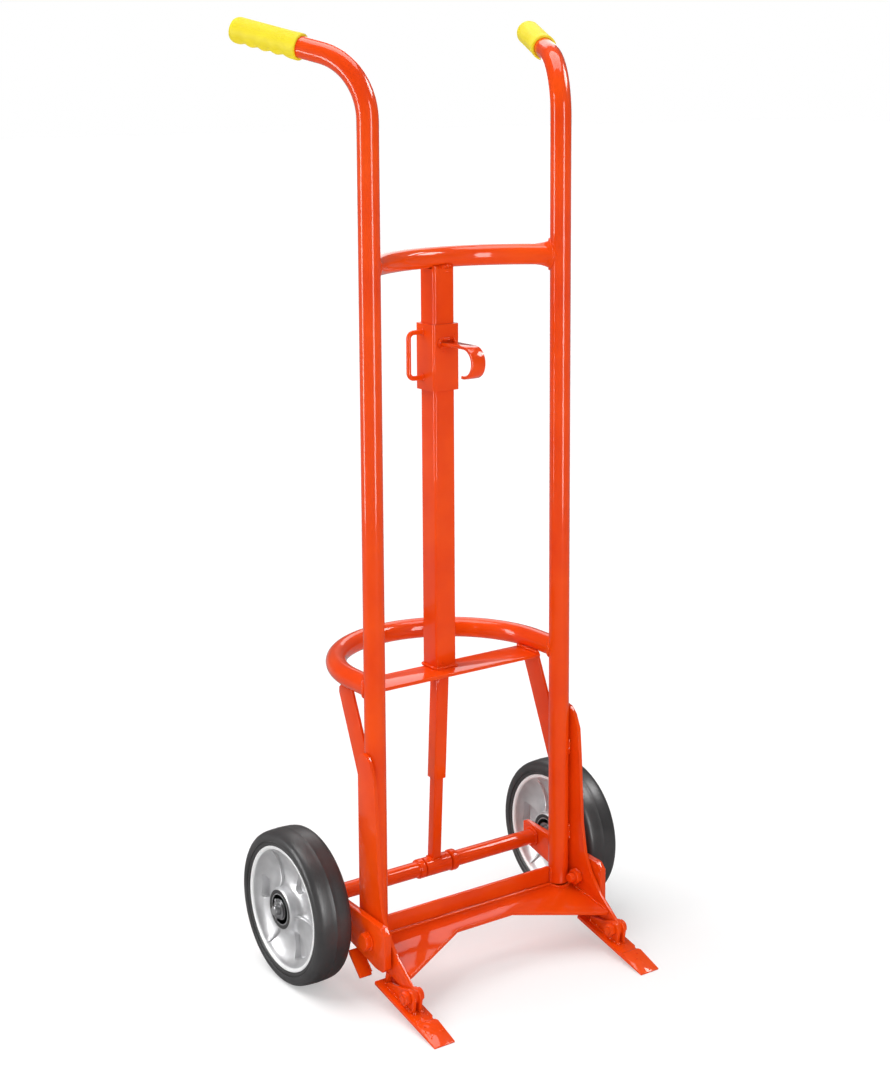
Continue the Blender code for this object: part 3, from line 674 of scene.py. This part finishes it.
# Side plates and foot. Heavy plates outside the tubes reach down and forward to the toe bolts; an
# upright bar and a forward plate tie them together. Long fillet runs join all of them.
for s, side in SIDES:
    dressed("side_plate_" + side, 0.0011)
    dressed("bracket_stop_" + side, 0.0008)
dressed("lower_cross_bar", 0.0012)
dressed("base_plate", 0.0010)


def plate_z(y):
    """Top of the forward plate at a distance y from the tubes' plane."""
    return 0.0875 + (y - 0.008) * 0.14


fold = bead([(x, FRAME_Y - 0.0004, plate_z(-0.0004) + 0.0014) for x in (-0.168, -0.06, 0.06, 0.168)], 0.0052,
            closed=False, ripple=0.02, seed=51)
fitted(fold, "cross_bar_fillet", "frame", "orange_paint", smooth=60)
for s, side in SIDES:
    ring = bead([(s * HALF_SPACING + 0.0182 * cos(t), FRAME_Y + 0.0182 * sin(t),
                  plate_z(0.018 * sin(t)) + 0.0008)
                 for t in (2 * pi * k / 40 for k in range(40))], 0.0062, ripple=0.3, seed=52 + s)
    riser = bead([(s * 0.1692, FRAME_Y - 0.0004, z) for z in (0.090, 0.104, 0.1165)], 0.0060, closed=False,
                 ripple=0.4, seed=54 + s)
    lap = bead([(s * 0.2026, FRAME_Y + y, plate_z(y) + 0.0008) for y in (-0.110, -0.070, -0.022)], 0.0042,
               closed=False, ripple=0.12, seed=56 + s)
    tacks = [bead([(s * 0.2006, FRAME_Y + y, z) for z in (low, low + 0.013, low + 0.026)], 0.0066,
                  closed=False, ripple=0.35, seed=58 + s + k)
             for k, (y, low) in enumerate(((-0.0098, 0.318), (-0.0098, 0.166),
                                           (0.0098, 0.318), (0.0098, 0.166)))]
    drops = spatter([(s * 0.174, FRAME_Y - 0.008, plate_z(-0.008)),
                     (s * 0.1785, FRAME_Y - 0.0225, plate_z(-0.0225)),
                     (s * 0.197, FRAME_Y - 0.036, plate_z(-0.036)), (s * 0.165, FRAME_Y - 0.004, 0.094)],
                    0.0010, 0.0019, 60 + s)
    fitted(one_piece(ring, riser, lap, drops, *tacks), "foot_welds_" + side, "frame", "orange_paint",
           smooth=60)
    edge = bead([(s * 0.2100, FRAME_Y + y, z)
                 for y, z in ((0.013, 0.0722), (-0.003, 0.0570), (-0.018, 0.0425))], 0.0036,
                closed=False, ripple=0.25, seed=62 + s)
    fitted(edge, "stop_weld_" + side, "frame", "orange_paint", smooth=60)

# Pivot bolts. Big hexagon bolts through the side plates carry the axle brackets, with a thick washer
# between and the nut inside. Chamfered heads, all painted over.
PIVOT_Y, PIVOT_Z, PIVOT_R = FRAME_Y - 0.032, 0.104, 0.008
PIVOT_HEAD_FLATS, PIVOT_NUT_FLATS = 0.0252, 0.024


def hexagon(flats, x0, x1, y, z, faces=(-1, 1), bore=None):
    """Hexagon block along X with turned chamfers on the faces named, and an optional round bore."""
    low, high = sorted((x0, x1))
    point = flats / sqrt(3)
    alone()
    bpy.ops.mesh.primitive_cylinder_add(vertices=6, radius=point, depth=high - low, rotation=(0, pi / 2, 0),
                                        location=((low + high) / 2, 0, 0))
    block = settled(bpy.context.object, Matrix.Rotation(0.26, 4, "X"))
    outer, cut = point * 1.04, flats * 0.475
    drop = (outer - cut) * 0.55
    outline = [(0.0, low), (cut if -1 in faces else outer, low),
               (outer, low + (drop if -1 in faces else 0.0001)),
               (outer, high - (drop if 1 in faces else 0.0001)),
               (cut if 1 in faces else outer, high), (0.0, high)]
    cone = turned(outline, sides=48)
    worked(block, "BOOLEAN", operation="INTERSECT", solver="EXACT", object=cone)
    bpy.data.objects.remove(cone, do_unlink=True)
    if bore:
        alone()
        bpy.ops.mesh.primitive_cylinder_add(vertices=48, radius=bore, depth=0.06, rotation=(0, pi / 2, 0),
                                            location=((low + high) / 2, 0, 0))
        drill = bpy.context.object
        worked(block, "BOOLEAN", operation="DIFFERENCE", solver="EXACT", object=drill)
        bpy.data.objects.remove(drill, do_unlink=True)
    rounded(block, 0.0003, 2, 25)
    return settled(block, Matrix.Translation((0, y, z)))


def shank(radius, x0, x1, thread, y, z, pitch=0.0016):
    """Round bolt body from x0 to its end x1, the last stretch cut with thread grooves."""
    step = pitch if x1 > x0 else -pitch
    outline = [(0.0, x0), (radius, x0)]
    x = x1 - (thread if x1 > x0 else -thread)
    outline.append((radius, x))
    while abs(x1 - x) > pitch * 1.6:
        outline += [(radius * 0.90, x + step * 0.5), (radius, x + step)]
        x += step
    outline += [(radius * 0.84, x1), (0.0, x1)]
    return turned(outline, (0, y, z), 40)


bracket_lo, bracket_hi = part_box("axle_bracket_right")
BRACKET_X1 = bracket_hi.x
for s, side in SIDES:
    head = hexagon(PIVOT_HEAD_FLATS, s * (BRACKET_X1 + 0.0022), s * (BRACKET_X1 + 0.0114), PIVOT_Y, PIVOT_Z,
                   faces=(s,))
    collar = turned([(0.0, s * (BRACKET_X1 + 0.0003)), (0.0155, s * (BRACKET_X1 + 0.0003)),
                     (0.0158, s * (BRACKET_X1 + 0.0008)), (0.0158, s * (BRACKET_X1 + 0.0019)),
                     (0.0152, s * (BRACKET_X1 + 0.0023)), (0.0, s * (BRACKET_X1 + 0.0023))],
                    (0, PIVOT_Y, PIVOT_Z))
    body = shank(PIVOT_R, s * (BRACKET_X1 + 0.002), s * 0.1835, 0.020, PIVOT_Y, PIVOT_Z)
    fitted(one_piece(head, collar, body), "pivot_hex_bolt_" + side, "frame", "orange_paint",
           "pivot_bolt_" + side)
    nut = hexagon(PIVOT_NUT_FLATS, s * 0.1925, s * 0.2032, PIVOT_Y, PIVOT_Z, bore=PIVOT_R + 0.0001)
    fitted(nut, "pivot_hex_nut_" + side, "frame", "orange_paint", "pivot_nut_" + side)
    ring = turned([(PIVOT_R + 0.0003, s * 0.2098), (0.0165, s * 0.2098), (0.0170, s * 0.2103),
                   (0.0170, s * 0.2119), (0.0165, s * 0.2124), (PIVOT_R + 0.0003, s * 0.2124)],
                  (0, PIVOT_Y, PIVOT_Z))
    fitted(ring, "pivot_ring_" + side, "frame", "orange_paint", "pivot_spacer_" + side)

# Axle carriage. Two thick brackets rock on the pivot bolts; round tubes welded to them run in to the
# collars, and the bare steel axle passes through everything.


def ring_line(x, radius, count=40):
    return [(x, AXLE_Y + radius * cos(t), AXLE_Z + radius * sin(t))
            for t in (2 * pi * k / count for k in range(count))]


for s, side in SIDES:
    dressed("axle_bracket_" + side, 0.0012, body="axle_carriage")
    near = 0.0363 if s < 0 else 0.0423
    tube = turned([(AXLE_R + 0.0024, s * near), (0.0129, s * near), (0.0133, s * (near + 0.0004)),
                   (0.0133, s * 0.2124), (AXLE_R + 0.0024, s * 0.2124)], axle)
    fitted(tube, "axle_cover_tube_" + side, "axle_carriage", "orange_paint", "axle_tube_" + side)
    wide = 0.0165 if s < 0 else 0.0180
    far, close = s * (near - 0.0003), s * (near - 0.012)
    collar = turned([(AXLE_R + 0.0003, far), (wide - 0.0016, far), (wide - 0.0004, far - s * 0.0008),
                     (wide, far - s * 0.0024), (wide, close + s * 0.0018),
                     (wide - 0.0012, close + s * 0.0004), (wide - 0.0020, close), (AXLE_R + 0.0003, close)], axle)
    fitted(collar, "axle_stop_collar_" + side, "axle_carriage", "orange_paint", "axle_collar_" + side)
    inner = bead(ring_line(s * (near + 0.0008), 0.0137), 0.0022 if s < 0 else 0.0036, ripple=0.2, seed=71 + s)
    outer = bead(ring_line(s * (bracket_lo.x - 0.0018), 0.0142), 0.0062, ripple=0.3, seed=73 + s)
    drops = spatter([(s * 0.2075, AXLE_Y - 0.0130, AXLE_Z + 0.0075),
                     (s * 0.2100, AXLE_Y - 0.0165, AXLE_Z + 0.0095)],
                    0.0012, 0.0020, 75 + s)
    fitted(one_piece(inner, outer, drops), "axle_welds_" + side, "axle_carriage", "orange_paint", smooth=60)

# Bare steel: the drawn axle with its cotter holes, spacers and washers. Bright but not polished.
tree, steel = new_finish("bright_steel", 1.0, 0.0, 0.1)
shade = ramp(tree, grain(tree, 45.0, 4.0), [(0.3, (0.42, 0.42, 0.43)), (0.7, (0.62, 0.62, 0.63))])
tree.links.new(shade, steel.inputs["Base Color"])
tree.links.new(spread(tree, grain(tree, 160.0, 3.0, (0.1, 1, 1)), 0.24, 0.46), steel.inputs["Roughness"])
bumps(tree, steel, [(grain(tree, 700.0, 2.0, (0.08, 1, 1)), 0.00004)], ("Normal",))
WHEEL_X, WHEEL_HALF, BORE_R = 0.2736, 0.0317, 0.0163
for node in ("axle_shaft", "cotter_pin_left", "cotter_pin_right"):
    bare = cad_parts[node]
    for place in bare.material_slots:
        place.material = FINISHES["bright_steel"]
for s, side in SIDES:
    x0, x1 = s * (BRACKET_X1 + 0.0003), s * (WHEEL_X - WHEEL_HALF - 0.0003)
    spacer = turned([(AXLE_R + 0.0003, x0), (0.0120, x0), (0.0125, x0 + s * 0.0006),
                     (0.0125, x1 - s * 0.0006), (0.0120, x1), (AXLE_R + 0.0003, x1)], axle)
    fitted(spacer, "wheel_spacer_tube_" + side, "axle_carriage", "bright_steel", "wheel_spacer_" + side)
    x0, x1 = s * (WHEEL_X + WHEEL_HALF + 0.0003), s * (WHEEL_X + WHEEL_HALF + 0.0028)
    plain = turned([(AXLE_R + 0.0003, x0), (0.0148, x0), (0.0150, x0 + s * 0.0003), (0.0150, x1 - s * 0.0005),
                    (0.0145, x1), (AXLE_R + 0.0007, x1), (AXLE_R + 0.0003, x1 - s * 0.0003)], axle)
    fitted(plain, "axle_plain_washer_" + side, "axle_carriage", "bright_steel", "axle_washer_" + side)

# Tyres. Solid black rubber moulded on the rim: crowned tread with a parting line, rounded shoulders
# and a stepped side wall.
tree, rubber = new_finish("black_rubber", 0.0, 0.0, 0.1, 1.5)
dust = ramp(tree, grain(tree, 16.0, 5.0), [(0.35, (0.030, 0.029, 0.030)), (0.62, (0.046, 0.044, 0.045)),
                                         (0.82, (0.060, 0.057, 0.056))])
tree.links.new(dust, rubber.inputs["Base Color"])
tree.links.new(spread(tree, grain(tree, 40.0, 4.0), 0.27, 0.46), rubber.inputs["Roughness"])
bumps(tree, rubber, [(grain(tree, 500.0, 3.0), 0.00006), (grain(tree, 55.0, 2.0), 0.00022)], ("Normal",))
half = [(0.1029, 0.0284), (0.1042, 0.0292), (0.1072, 0.0297), (0.1082, 0.0292), (0.1090, 0.0292),
        (0.1098, 0.0310), (0.1112, 0.0316), (0.1150, 0.0316), (0.1182, 0.0311), (0.1208, 0.0300),
        (0.1228, 0.0282), (0.1244, 0.0258), (0.1254, 0.0228), (0.1260, 0.0190), (0.1264, 0.0140),
        (0.1267, 0.0080), (0.1268, 0.0012), (0.1270, 0.0005)]
tyre = turned(half + [(r, -x) for r, x in reversed(half)], sides=160)
for s, side in SIDES:
    made = another(tyre, Matrix.Translation((s * WHEEL_X, AXLE_Y, AXLE_Z)))
    fitted(made, "moulded_tyre_" + side, "wheel_" + side, "black_rubber", "tyre_" + side, smooth=28)
bpy.data.objects.remove(tyre, do_unlink=True)

# Wheel hubs. Cast aluminium with a machined rim lip: a dished web with three curved ribs and three
# pockets on each face, a flared boss, and a roller bearing behind a bright shield and a dark seal.
LIP_BAND = (0.0958, 0.0966)
tree, casting = new_finish("cast_aluminium", 0.72, 0.0, 0.1)
metal = ramp(tree, grain(tree, 30.0, 5.0), [(0.3, (0.58, 0.58, 0.59)), (0.7, (0.76, 0.76, 0.77))])
placed = add_node(tree, "ShaderNodeTexCoord")
flat_on = add_node(tree, "ShaderNodeVectorMath", {1: (0, 1, 1)}, operation="MULTIPLY")
reach = add_node(tree, "ShaderNodeVectorMath", {1: (0, AXLE_Y, AXLE_Z)}, operation="DISTANCE")
tree.links.new(placed.outputs["Object"], flat_on.inputs[0])
tree.links.new(flat_on.outputs["Vector"], reach.inputs[0])
lip = spread(tree, reach.outputs["Value"], 0.0, 1.0, LIP_BAND)
# The lip band is painted near-white and only a little metallic. This is partly the turned lip's own brighter
# finish and partly a painted highlight standing in for its glint.
lip_finish_and_highlight = add_node(tree, "ShaderNodeMix", {"B": (0.97, 0.97, 0.97, 1)}, data_type="RGBA")
tree.links.new(lip, lip_finish_and_highlight.inputs["Factor"])
tree.links.new(metal, lip_finish_and_highlight.inputs["A"])
tree.links.new(lip_finish_and_highlight.outputs["Result"], casting.inputs["Base Color"])
tree.links.new(spread(tree, lip, 0.72, 0.30), casting.inputs["Metallic"])
tree.links.new(spread(tree, grain(tree, 120.0, 4.0), 0.30, 0.52), casting.inputs["Roughness"])
bumps(tree, casting, [(grain(tree, 900.0, 4.0), 0.00010), (grain(tree, 70.0, 3.0), 0.00025)], ("Normal",))
half = [(BORE_R, 0.0300), (0.0172, 0.0312), (0.0335, 0.0312), (0.0348, 0.0302), (0.0352, 0.0280),
        (0.0345, 0.0225), (0.0355, 0.0175), (0.0395, 0.0135), (0.0480, 0.0105), (0.0600, 0.0098),
        (0.0720, 0.0112), (0.0830, 0.0140), (0.0905, 0.0180), (0.0950, 0.0225), (0.0968, 0.0268),
        (0.0974, 0.0276), (0.0984, 0.0281), (0.1020, 0.0283), (0.1025, 0.0278)]
hub = turned(half + [(r, -x) for r, x in reversed(half)], sides=120)


def plank(outline, thick):
    """Flat plate with a (along X, up Z) outline, its thickness across Y."""
    alone()
    bpy.ops.mesh.primitive_circle_add(vertices=len(outline), radius=1, fill_type="NGON")
    made = bpy.context.object
    for corner, (x, z) in zip(made.data.vertices, outline):
        corner.co = (x, 0, z)
    return worked(made, "SOLIDIFY", thickness=thick, offset=0.0)


crest = [(0.0250, 0.0335), (0.0190, 0.0400), (0.0158, 0.0500), (0.0150, 0.0620), (0.0162, 0.0740),
         (0.0192, 0.0850), (0.0240, 0.0960)]
pocket_corners = ((-0.007, 0.043), (0.007, 0.043), (0.019, 0.084), (-0.019, 0.084))
rib = rounded(plank(crest + [(0.0060, 0.0960), (0.0060, 0.0335)], 0.0052), 0.0016, 3, 30)
for flip in (0, 1):
    for k in range(3):
        about = Matrix.Rotation(radians(-85 + 120 * k + 60 * flip), 4, "X")
        mirror = Matrix.Rotation(pi * flip, 4, "Z")
        one_piece(hub, another(rib, about @ mirror))
        alone()
        bpy.ops.mesh.primitive_circle_add(vertices=4, radius=1, fill_type="NGON")
        pocket = bpy.context.object
        for corner, (y, z) in zip(pocket.data.vertices, pocket_corners):
            corner.co = (0.0035, y, z)
        editing(pocket)
        bpy.ops.mesh.bevel(offset=0.005, segments=5, affect="VERTICES")
        bpy.ops.mesh.extrude_region_move(TRANSFORM_OT_translate={"value": (0.022, 0, 0)})
        bpy.ops.transform.resize(value=(1, 1.35, 1.14), center_override=(0.0255, 0, 0.066))
        bpy.ops.mesh.select_all(action="SELECT")
        bpy.ops.mesh.fill_holes(sides=0)
        done_editing(outwards=True)
        settled(pocket, Matrix.Rotation(radians(60), 4, "X"))
        settled(pocket, about @ mirror)
        worked(hub, "BOOLEAN", operation="DIFFERENCE", solver="EXACT", object=pocket, use_self=True)
        bpy.data.objects.remove(pocket, do_unlink=True)
bpy.data.objects.remove(rib, do_unlink=True)
rounded(hub, 0.0006, 2, 40)
for s, side in SIDES:
    made = another(hub, Matrix.Translation((s * WHEEL_X, AXLE_Y, AXLE_Z)))
    fitted(made, "cast_hub_" + side, "wheel_" + side, "cast_aluminium", "wheel_hub_" + side, smooth=40)
bpy.data.objects.remove(hub, do_unlink=True)

seal = turned([(0.0252, 0.0306), (0.0256, 0.0313), (0.0272, 0.0317), (0.0306, 0.0317), (0.0318, 0.0313),
               (0.0321, 0.0306)], sides=80)
shield = turned([(0.0120, 0.0308), (0.0124, 0.0316), (0.0164, 0.0316), (0.0168, 0.0312), (0.0244, 0.0312),
                 (0.0249, 0.0308)], sides=80)
roller = turned([(0.0, -0.0290), (0.0018, -0.0290), (0.0021, -0.0287), (0.0021, 0.0287), (0.0018, 0.0290),
                 (0.0, 0.0290)], sides=14)
race = turned([(AXLE_R + 0.0001, -0.0317), (0.0112, -0.0317), (0.0116, -0.0313), (0.0116, 0.0313),
               (0.0112, 0.0317), (AXLE_R + 0.0001, 0.0317)], sides=64)
ROLLERS, ROLLER_PITCH_R = 16, 0.01385
for k in range(ROLLERS):
    spot = Matrix.Rotation(2 * pi * k / ROLLERS, 4, "X") @ Matrix.Translation((0, 0, ROLLER_PITCH_R))
    one_piece(race, another(roller, spot))
for turn in (0, pi):
    one_piece(race, another(shield, Matrix.Rotation(turn, 4, "Z")))
for spare in (roller, shield):
    bpy.data.objects.remove(spare, do_unlink=True)
for s, side in SIDES:
    at = Matrix.Translation((s * WHEEL_X, AXLE_Y, AXLE_Z))
    fitted(another(race, at), "roller_bearing_" + side, "wheel_" + side, "bright_steel",
           "wheel_bearing_" + side)
    both = one_piece(another(seal, at), another(seal, at @ Matrix.Rotation(pi, 4, "Z")))
    fitted(both, "bearing_seals_" + side, "wheel_" + side, "black_rubber")
for spare in (seal, race):
    bpy.data.objects.remove(spare, do_unlink=True)

# Toes. Steel plates that swing on bolts through the side plates: two upright lugs, a stop stud at
# the heel and a thicker ground-off pad at the tip, welded with plenty of spatter.
TOE_Y, TOE_Z, TOE_X, TOE_HALF = FRAME_Y - 0.130, 0.045, 0.2065, 0.019
TOE_REAR, TOE_TIP, TOE_BASE, TOE_T = 0.0764, -0.0949, -0.0246, 0.006
TOE_FLATS, TOE_BOLT_R = 0.019, 0.006
tilt = Matrix.Translation((0, TOE_Y, TOE_Z)) @ Matrix.Rotation(radians(12.8), 4, "X")
top = TOE_BASE + TOE_T
for s, side in SIDES:
    body, x = "toe_" + side, s * TOE_X
    view = [(-0.0400, top), (TOE_REAR, top), (TOE_REAR, TOE_BASE), (TOE_TIP, TOE_BASE),
            (TOE_TIP, TOE_BASE + 0.0025), (-0.0440, top + 0.0025)]
    alone()
    bpy.ops.mesh.primitive_circle_add(vertices=len(view), radius=1, fill_type="NGON")
    plate = bpy.context.object
    for corner, (y, z) in zip(plate.data.vertices, view):
        corner.co = (x - TOE_HALF, y, z)
    editing(plate)
    bpy.ops.mesh.extrude_region_move(TRANSFORM_OT_translate={"value": (2 * TOE_HALF, 0, 0)})
    bpy.ops.mesh.select_all(action="SELECT")
    bpy.ops.mesh.fill_holes(sides=0)
    done_editing(outwards=True)
    alone()
    bpy.ops.mesh.primitive_cylinder_add(vertices=24, radius=0.009, depth=0.03,
                                        location=(x + TOE_HALF + 0.0055, -0.0400, top))
    nick = bpy.context.object
    worked(plate, "BOOLEAN", operation="DIFFERENCE", solver="EXACT", object=nick)
    bpy.data.objects.remove(nick, do_unlink=True)
    rounded(plate, 0.0008, 2, 20)
    fitted(settled(plate, tilt), "toe_sole_" + side, body, "orange_paint", "toe_plate_" + side)
    for part in ("inner", "outer"):
        dressed("toe_lug_%s_%s" % (part, side), 0.0008, body=body)
    low, high = x - 0.0088, x + 0.0088
    head = hexagon(TOE_FLATS, high, high + 0.0075, TOE_Y, TOE_Z, faces=(1,))
    pin = shank(TOE_BOLT_R, high + 0.001, low - 0.0115, 0.013, TOE_Y, TOE_Z, 0.0013)
    fitted(one_piece(head, pin), "toe_hex_bolt_" + side, body, "orange_paint", "toe_bolt_" + side)
    nut = hexagon(TOE_FLATS, low - 0.0095, low, TOE_Y, TOE_Z, bore=TOE_BOLT_R + 0.0001)
    fitted(nut, "toe_hex_nut_" + side, body, "orange_paint", "toe_nut_" + side)
    alone()
    bpy.ops.mesh.primitive_cylinder_add(vertices=6, radius=0.0055, depth=0.0182,
                                        location=(x, 0.0665, top + 0.0003 + 0.0091))
    stud = bpy.context.object
    settled(stud)
    rounded(stud, 0.0007, 2, 25)
    fitted(settled(stud, tilt), "toe_heel_stud_" + side, body, "orange_paint", "toe_stop_" + side)
    runs = []
    for k, (a, b) in enumerate(((0.1975, -1), (0.2155, 1))):
        line = [(s * a, y, top + 0.0008) for y in (0.054, 0.020, -0.015)]
        runs.append(bead([tilt @ Vector(p) for p in line], 0.0060, closed=False, ripple=0.35,
                         seed=80 + 3 * k + s))
        nose = [(s * a, -0.0165, top + 0.0008), (s * (a + b * -0.003), -0.0185, top + 0.0008),
                (s * (a + b * -0.006), -0.0175, top + 0.0008)]
        runs.append(bead([tilt @ Vector(p) for p in nose], 0.0058, closed=False, ripple=0.35,
                         seed=86 + 3 * k + s))
    heel = [(x + 0.0062 * cos(t), 0.0665 + 0.0062 * sin(t), top + 0.0006)
            for t in (2 * pi * k / 18 for k in range(18))]
    runs.append(bead([tilt @ Vector(p) for p in heel], 0.0034, ripple=0.3, seed=92 + s))
    chance = random.Random(94 + s)
    spots = [tilt @ Vector((x + chance.uniform(-0.016, 0.016), chance.uniform(-0.036, -0.018), top))
             for k in range(14)]
    spots += [tilt @ Vector((x + chance.uniform(-0.015, 0.015), chance.uniform(-0.078, -0.050),
                             top + 0.0018)) for k in range(4)]
    runs.append(spatter(spots, 0.0007, 0.0017, 95 + s))
    fitted(one_piece(*runs), "toe_welds_" + side, body, "orange_paint", smooth=60)
